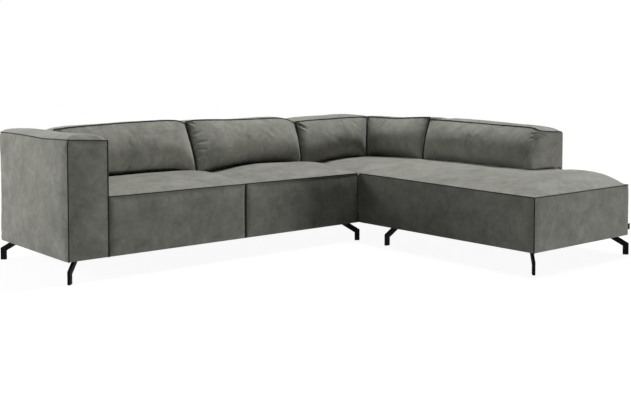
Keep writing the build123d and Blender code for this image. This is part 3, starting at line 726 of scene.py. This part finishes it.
        left = self.cushion(form, "back_left_pad", x_split - x_arm, self.LEFT_WELT, sofa_cap, left_wall,
                            left_seat_top, self.LEFT_RISES)
        dress(left, "sofa_module", 0.75, "back_cushion_left")
        middle = self.cushion(form, "back_middle_pad", x_sofa_end - x_split, self.MIDDLE_WELT, sofa_cap,
                              middle_wall, right_seat_top, self.MIDDLE_RISES, folds=self.MIDDLE_FOLDS)
        dress(middle, "sofa_module", 0.75, "back_cushion_middle")
        rear = self.cushion(form, "back_corner_rear_pad", x_right - form.back_top_depth - x_chaise,
                            self.REAR_WELT, chaise_cap, rear_corner, chaise_seat_top, self.REAR_RISES,
                            folds=self.REAR_FOLDS)
        dress(rear, "chaise_module", 0.75, "back_cushion_corner_rear")
        side = self.cushion(form, "back_corner_side_pad", y_rear - form.back_top_depth - y_corner,
                            self.SIDE_WELT, chaise_cap, side_corner, chaise_seat_top, self.SIDE_RISES)
        dress(side, "chaise_module", 0.75, "back_cushion_corner_side")
        end = self.cushion(form, "back_chaise_pad", y_corner - y_back_end, self.END_WELT, chaise_cap,
                           side_wall, chaise_seat_top, self.END_RISES, open_end=True, folds=self.END_FOLDS)
        dress(end, "chaise_module", 0.75, "back_cushion_chaise")
        return {"FINISHED"}


class SOFA_OT_settle(bpy.types.Operator):
    """Let the covers swell over their padding by cloth simulation"""

    bl_idname = "sofa.settle"
    bl_label = "Settle covers"

    FRAMES = 20
    PRESSURE = 2.0
    MASS = 0.3
    STRETCH = 25
    SHEAR = 8
    BEND = 0.3
    SPARE_CLOTH = 0.004
    STILL = 1e-7

    def execute(self, context):
        self.swell(context.scene)
        for cover in covers.values():
            self.close(cover)
        return {"FINISHED"}

    def swell(self, scene):
        """Runs all covers together, with their seams and hidden faces held."""
        for cover in covers.values():
            piece = cover["piece"]
            held = [index for index in range(len(cover["spots"]))
                    if len(faces_of(cover, index)) != 1 or faces_of(cover, index)[0] not in cover["shown"]]
            sewn = piece.vertex_groups.new(name="sewn")
            sewn.add(held, 1, "REPLACE")
            cloth = piece.modifiers.new("cover", "CLOTH")
            cloth.point_cache.frame_start = 1
            cloth.point_cache.frame_end = self.FRAMES
            settings = cloth.settings
            settings.quality = 4
            settings.mass = self.MASS
            settings.tension_stiffness = self.STRETCH
            settings.compression_stiffness = self.STRETCH
            settings.shear_stiffness = self.SHEAR
            settings.bending_stiffness = self.BEND
            settings.vertex_group_mass = "sewn"
            settings.use_pressure = True
            settings.uniform_pressure_force = self.PRESSURE
            settings.shrink_min = -self.SPARE_CLOTH
            settings.effector_weights.gravity = 0
            cloth.collision_settings.use_collision = False
        for number in range(1, self.FRAMES + 1):
            scene.frame_set(number)
        graph = bpy.context.evaluated_depsgraph_get()
        cap = scene.sofa_form.swell
        for cover in covers.values():
            piece = cover["piece"]
            swollen = [vert.co.copy() for vert in piece.evaluated_get(graph).data.vertices]
            piece.modifiers.clear()
            piece.vertex_groups.clear()
            for vert, target in zip(piece.data.vertices, swollen):
                move = target - vert.co
                if move.length > self.STILL:
                    vert.co += move * (cap * tanh(move.length / cap) / move.length)
        scene.frame_set(1)

    def close(self, cover):
        """Keeps the welted edges crisp and rounds the rest."""
        piece = cover["piece"]
        edges = {frozenset(pair) for lines in cover["welts"].values() for line in lines
                 for pair in zip(line, line[1:])}
        crease = piece.data.attributes.new("crease_edge", "FLOAT", "EDGE")
        crease.data.foreach_set(
            "value", [float(frozenset(edge.vertices) in edges) for edge in piece.data.edges])
        smooth = piece.modifiers.new("round", "SUBSURF")
        smooth.levels = smooth.render_levels = 1


class SOFA_OT_welts(bpy.types.Operator):
    """Sew the welts along the covers' seams"""

    bl_idname = "sofa.welts"
    bl_label = "Welts"

    PROUD = 0.5

    def execute(self, context):
        radius = context.scene.sofa_form.welt_radius
        for cover in covers.values():
            data = cover["piece"].data
            for name, lines in cover["welts"].items():
                curve = bpy.data.curves.new(name, "CURVE")
                curve.dimensions = "3D"
                curve.bevel_depth = radius
                curve.bevel_resolution = 2
                curve.resolution_u = 2
                curve.use_fill_caps = True
                for line in lines:
                    points = [data.vertices[index].co + data.vertices[index].normal * radius * self.PROUD
                              for index in line]
                    spline = curve.splines.new("NURBS")
                    spline.points.add(len(points) - 1)
                    for point, target in zip(spline.points, points):
                        point.co = (*target, 1)
                    spline.order_u = 3
                    spline.use_endpoint_u = True
                cord = bpy.data.objects.new("cord", curve)
                mesh = bpy.data.meshes.new_from_object(cord)
                bpy.data.objects.remove(cord)
                piece = bpy.data.objects.new(name, mesh)
                context.scene.collection.objects.link(piece)
                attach(piece, cover["body"])
        return {"FINISHED"}


class SOFA_OT_panels(bpy.types.Operator):
    """Cover the outside of the backs"""

    bl_idname = "sofa.panels"
    bl_label = "Outside panels"

    STEP = 0.03
    FINE = 0.006
    EDGE = 0.018

    def panel(self, name, node_name, face, body):
        """Padded panel in the place of a frame's own, with its shown face puffed up."""
        low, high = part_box(node_name)
        sides = tuple(rows(size, self.STEP, self.FINE, min(self.EDGE, size / 3)) for size in high - low)
        cover = block(name, sides, lambda px, py, pz: low + Vector((px, py, pz)))
        upholster(cover, face, {})
        dress(cover, body, 0.9, node_name)

    def execute(self, context):
        self.panel("sofa_back_outside", "sofa_back_panel", "y1", "sofa_module")
        self.panel("chaise_rear_outside", "chaise_rear_panel", "y1", "chaise_module")
        self.panel("chaise_side_outside", "chaise_side_panel", "x1", "chaise_module")
        return {"FINISHED"}


class SOFA_OT_cloths(bpy.types.Operator):
    """Stretch the dust covers and lay the felt pads"""

    bl_idname = "sofa.cloths"
    bl_label = "Dust covers and felt"

    CELL = 0.09
    SAG = 0.004
    SAG_START = 0.2
    SAG_REACH = 0.25
    SAG_LUMPS = (5, 0.5)

    def cloth(self, name, node_name, body, slot, sag, held, rests_on):
        """Cloth cut like the frame's own sheet, with a soft sag between its fixed edges."""
        low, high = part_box(node_name)
        mesh = bmesh.new()
        mesh.from_mesh(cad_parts[node_name].data)
        bmesh.ops.remove_doubles(mesh, verts=mesh.verts, dist=1e-5)
        for axis in (0, 1):
            count = round((high[axis] - low[axis]) / self.CELL)
            for index in range(1, count):
                place = low.copy()
                place[axis] += (high[axis] - low[axis]) * index / count
                bmesh.ops.bisect_plane(mesh, geom=[*mesh.verts, *mesh.edges, *mesh.faces], dist=1e-6,
                                       plane_co=place, plane_no=[float(side == axis) for side in range(3)])
        for vert in mesh.verts:
            edge = min(vert.co.x - low.x, high.x - vert.co.x, vert.co.y - low.y, high.y - vert.co.y)
            lumps = self.SAG_LUMPS[1] * noise.noise(vert.co * self.SAG_LUMPS[0])
            vert.co.z -= sag * dome(edge - self.SAG_START, self.SAG_REACH) * (1 + lumps)
        flat = (high - low).xy
        mesh.normal_update()
        area = min(sum(face.calc_area() for face in mesh.faces if face.normal.z > 0.5), flat.x * flat.y)
        data = bpy.data.meshes.new(name)
        mesh.to_mesh(data)
        mesh.free()
        piece = bpy.data.objects.new(name, data)
        bpy.context.scene.collection.objects.link(piece)
        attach(piece, body)
        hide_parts(node_name)

    def execute(self, context):
        for side in ("sofa", "chaise"):
            body = f"{side}_module"
            self.cloth(f"{side}_dust_cloth", f"{side}_dust_cover", body, "dust_cloth", self.SAG, "stretched",
                       [f"{side}_leg_glides"])
            self.cloth(f"{side}_felt", f"{side}_felt_pad", body, "felt", 0, "laid", [f"{side}_seat_webbing"])
        return {"FINISHED"}


class SOFA_OT_tab(bpy.types.Operator):
    """Sew the plain tab to the chaise's side"""

    bl_idname = "sofa.tab"
    bl_label = "Tab"

    SPARE = 0.009
    THICKENING = 0.35
    STEP = 0.003
    FINE = 0.001

    def execute(self, context):
        low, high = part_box("side_tab")
        size = high - low + Vector((self.SPARE, 0, 0))

        def shape(px, py, pz):
            swell = self.THICKENING * sin(pi * px / size.x) * (py / size.y - 0.5)
            return low + Vector((px, py + size.y * swell, pz))

        sides = tuple(rows(side, self.STEP, self.FINE, side / 4) for side in size)
        made = block("tab_ribbon", sides, shape)
        piece = made["piece"]
        smooth = piece.modifiers.new("round", "SUBSURF")
        smooth.levels = smooth.render_levels = 1
        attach(piece, "chaise_module")
        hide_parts("side_tab")
        return {"FINISHED"}


class SOFA_OT_finishes(bpy.types.Operator):
    """Give every piece its finish"""

    bl_idname = "sofa.finishes"
    bl_label = "Finishes"

    KINDS = (("welts", "welt"), ("glides", "plastic"), ("screws", "steel"), ("bolts", "steel"),
             ("hook", "hook"), ("webbing", "webbing"), ("dust", "dust"), ("felt", "felt"), ("tab", "ribbon"),
             ("blocks", "wood"), ("rail", "wood"), ("post", "wood"), ("board", "wood"), ("leg", "coat"))

    def execute(self, context):
        looks = context.scene.sofa_looks
        finishes = {
            "cover": suede("suede_cover", tuple(looks.cover_colour)),
            "welt": suede("suede_welt", tuple(looks.welt_colour), 0.5),
            "coat": coated("powder_coat", tuple(looks.leg_colour), 0.6, 900, 0.08),
            "plastic": coated("moulded_plastic", (0.012, 0.012, 0.012), 0.45, 260, 0.03),
            "steel": plated("zinc_plate", (0.56, 0.57, 0.58), 0.32),
            "hook": plated("zinc_sheet", (0.50, 0.51, 0.52), 0.40),
            "wood": planed("planed_wood", (0.47, 0.31, 0.16), (0.62, 0.45, 0.26)),
            "webbing": woven("elastic_webbing", (0.012, 0.012, 0.013), (0.035, 0.034, 0.032), 700),
            "dust": woven("non_woven", (0.006, 0.006, 0.006), (0.02, 0.02, 0.02), 1500),
            "felt": woven("needled_felt", (0.17, 0.165, 0.15), (0.27, 0.26, 0.24), 160),
            "ribbon": woven("ribbon", (0.004, 0.004, 0.004), (0.011, 0.011, 0.011), 2500),
        }
        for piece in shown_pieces():
            kind = next((kind for part, kind in self.KINDS if part in piece.name), None)
            if piece.name in covers:
                kind = "cover"
            piece.data.materials.clear()
            piece.data.materials.append(finishes[kind])
        return {"FINISHED"}


class SOFA_OT_stage(bpy.types.Operator):
    """Set the floor, the light and the camera"""

    bl_idname = "sofa.stage"
    bl_label = "Stage"

    CAMERA_PLACE = (-3.7436, -4.4092, 1.1433)
    CAMERA_TURN = 40.050
    CAMERA_DIP = 3
    CAMERA_LENS = 54.552
    CAMERA_RISE = -0.1281
    SENSOR = 36
    FLOOR_HALF = 6
    FLOOR_GREY = 0.2
    FLOOR_GLOW = 0.94
    SHADOW_GREY = 0.12
    FILL = 0.01
    # Places, targets and sizes of the softboxes
    OVERHEAD = ((2.6, 0.4, 8.6), (0.4, 0.2, 0.4), (2.4, 2.4))
    BESIDE_ARM = ((-4.4, 2.0, 1.3), (-1.5, 0.7, 0.5), (1.4, 1.4))
    LOW_FRONT = ((3.6, -8.0, 0.18), (-0.6, 0.2, 0.3), (2.4, 0.3))

    def execute(self, context):
        scene = context.scene
        scene.view_settings.view_transform = "Standard"
        self.floor()
        self.sky(scene)
        self.light(scene.sofa_looks)
        data = bpy.data.cameras.new("camera")
        data.lens = self.CAMERA_LENS
        data.sensor_width = self.SENSOR
        data.shift_y = self.CAMERA_RISE
        camera = bpy.data.objects.new("camera", data)
        camera.location = self.CAMERA_PLACE
        camera.rotation_euler = (radians(90 - self.CAMERA_DIP), 0, radians(-self.CAMERA_TURN))
        scene.collection.objects.link(camera)
        scene.camera = camera
        return {"FINISHED"}

    def floor(self):
        """Floor that shows near white to the camera with a faint shadow, and bounces little light."""
        mesh = bmesh.new()
        bmesh.ops.create_grid(mesh, x_segments=1, y_segments=1, size=self.FLOOR_HALF)
        data = bpy.data.meshes.new("floor")
        mesh.to_mesh(data)
        mesh.free()
        floor = bpy.data.objects.new("floor", data)
        bpy.context.scene.collection.objects.link(floor)
        floor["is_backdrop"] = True
        made, tree, shader = finish("floor_white", 0.9)
        shader.inputs["Base Color"].default_value = (*[self.FLOOR_GREY] * 3, 1)
        glow = node(tree, "Emission", {"Color": (1, 1, 1, 1), "Strength": self.FLOOR_GLOW})
        veil = node(tree, "BsdfDiffuse", {"Color": (*[self.SHADOW_GREY] * 3, 1)})
        white = node(tree, "AddShader", {0: glow.outputs[0], 1: veil.outputs[0]})
        mixed = node(tree, "MixShader", {"Fac": self.seen(tree), 1: shader.outputs[0], 2: white.outputs[0]})
        tree.links.new(mixed.outputs[0], tree.nodes["Material Output"].inputs["Surface"])
        data.materials.append(made)

    def seen(self, tree):
        """One for rays that show the background itself, straight or in a reflection."""
        path = node(tree, "LightPath")
        total = node(tree, "Math", {0: path.outputs["Is Camera Ray"], 1: path.outputs["Is Glossy Ray"]},
                     operation="MAXIMUM")
        return node(tree, "Math", {0: total.outputs[0], 1: path.outputs["Is Transmission Ray"]},
                    operation="MAXIMUM").outputs[0]

    def sky(self, scene):
        """White behind the sofa, and a dim even fill on it."""
        world = bpy.data.worlds.new("studio")
        world.use_nodes = True
        scene.world = world
        tree = world.node_tree
        dim = tree.nodes["Background"]
        dim.inputs["Color"].default_value = (1, 1, 1, 1)
        dim.inputs["Strength"].default_value = self.FILL
        white = node(tree, "Background", {"Color": (1, 1, 1, 1), "Strength": 1})
        mixed = node(tree, "MixShader", {"Fac": self.seen(tree), 1: dim.outputs[0], 2: white.outputs[0]})
        tree.links.new(mixed.outputs[0], tree.nodes["World Output"].inputs["Surface"])

    def light(self, looks):
        """Softboxes high overhead, beside the arm and low in front."""
        for name, power, (place, target, size) in (
            ("overhead", looks.top_light, self.OVERHEAD),
            ("beside_arm", looks.left_light, self.BESIDE_ARM),
            ("low_front", looks.front_light, self.LOW_FRONT),
        ):
            data = bpy.data.lights.new(name, "AREA")
            data.shape = "RECTANGLE"
            data.size, data.size_y = size
            data.energy = power
            lamp = bpy.data.objects.new(name, data)
            lamp.location = place
            lamp.rotation_euler = (Vector(target) - Vector(place)).to_track_quat("-Z", "Y").to_euler()
            bpy.context.scene.collection.objects.link(lamp)


class SOFA_PT_pieces(bpy.types.Panel):
    """Lists the steps that dress the sofa"""

    bl_idname = "SOFA_PT_pieces"
    bl_label = "Corner sofa"
    bl_space_type = "VIEW_3D"
    bl_region_type = "UI"
    bl_category = "Sofa"

    def draw(self, context):
        for step in STEPS:
            self.layout.operator(step.bl_idname)
        for group in (context.scene.sofa_form, context.scene.sofa_looks):
            for key in group.__annotations__:
                self.layout.prop(group, key)


STEPS = (SOFA_OT_arm, SOFA_OT_seats, SOFA_OT_chaise_seat, SOFA_OT_backs, SOFA_OT_panels, SOFA_OT_settle,
         SOFA_OT_welts, SOFA_OT_cloths, SOFA_OT_tab, SOFA_OT_finishes, SOFA_OT_stage)
CLASSES = (SofaForm, SofaLooks, *STEPS, SOFA_PT_pieces)


def register():
    """Registers the classes and hangs the settings on the scene."""
    for made in CLASSES:
        bpy.utils.register_class(made)
    bpy.types.Scene.sofa_form = PointerProperty(type=SofaForm)
    bpy.types.Scene.sofa_looks = PointerProperty(type=SofaLooks)


def unregister():
    """Takes the settings and the classes away again."""
    del bpy.types.Scene.sofa_looks
    del bpy.types.Scene.sofa_form
    for made in reversed(CLASSES):
        bpy.utils.unregister_class(made)


def main():
    """Runs the steps in order."""
    register()
    for step in STEPS:
        family, name = step.bl_idname.split(".")
        getattr(getattr(bpy.ops, family), name)()


if __name__ == "__main__":
    main()
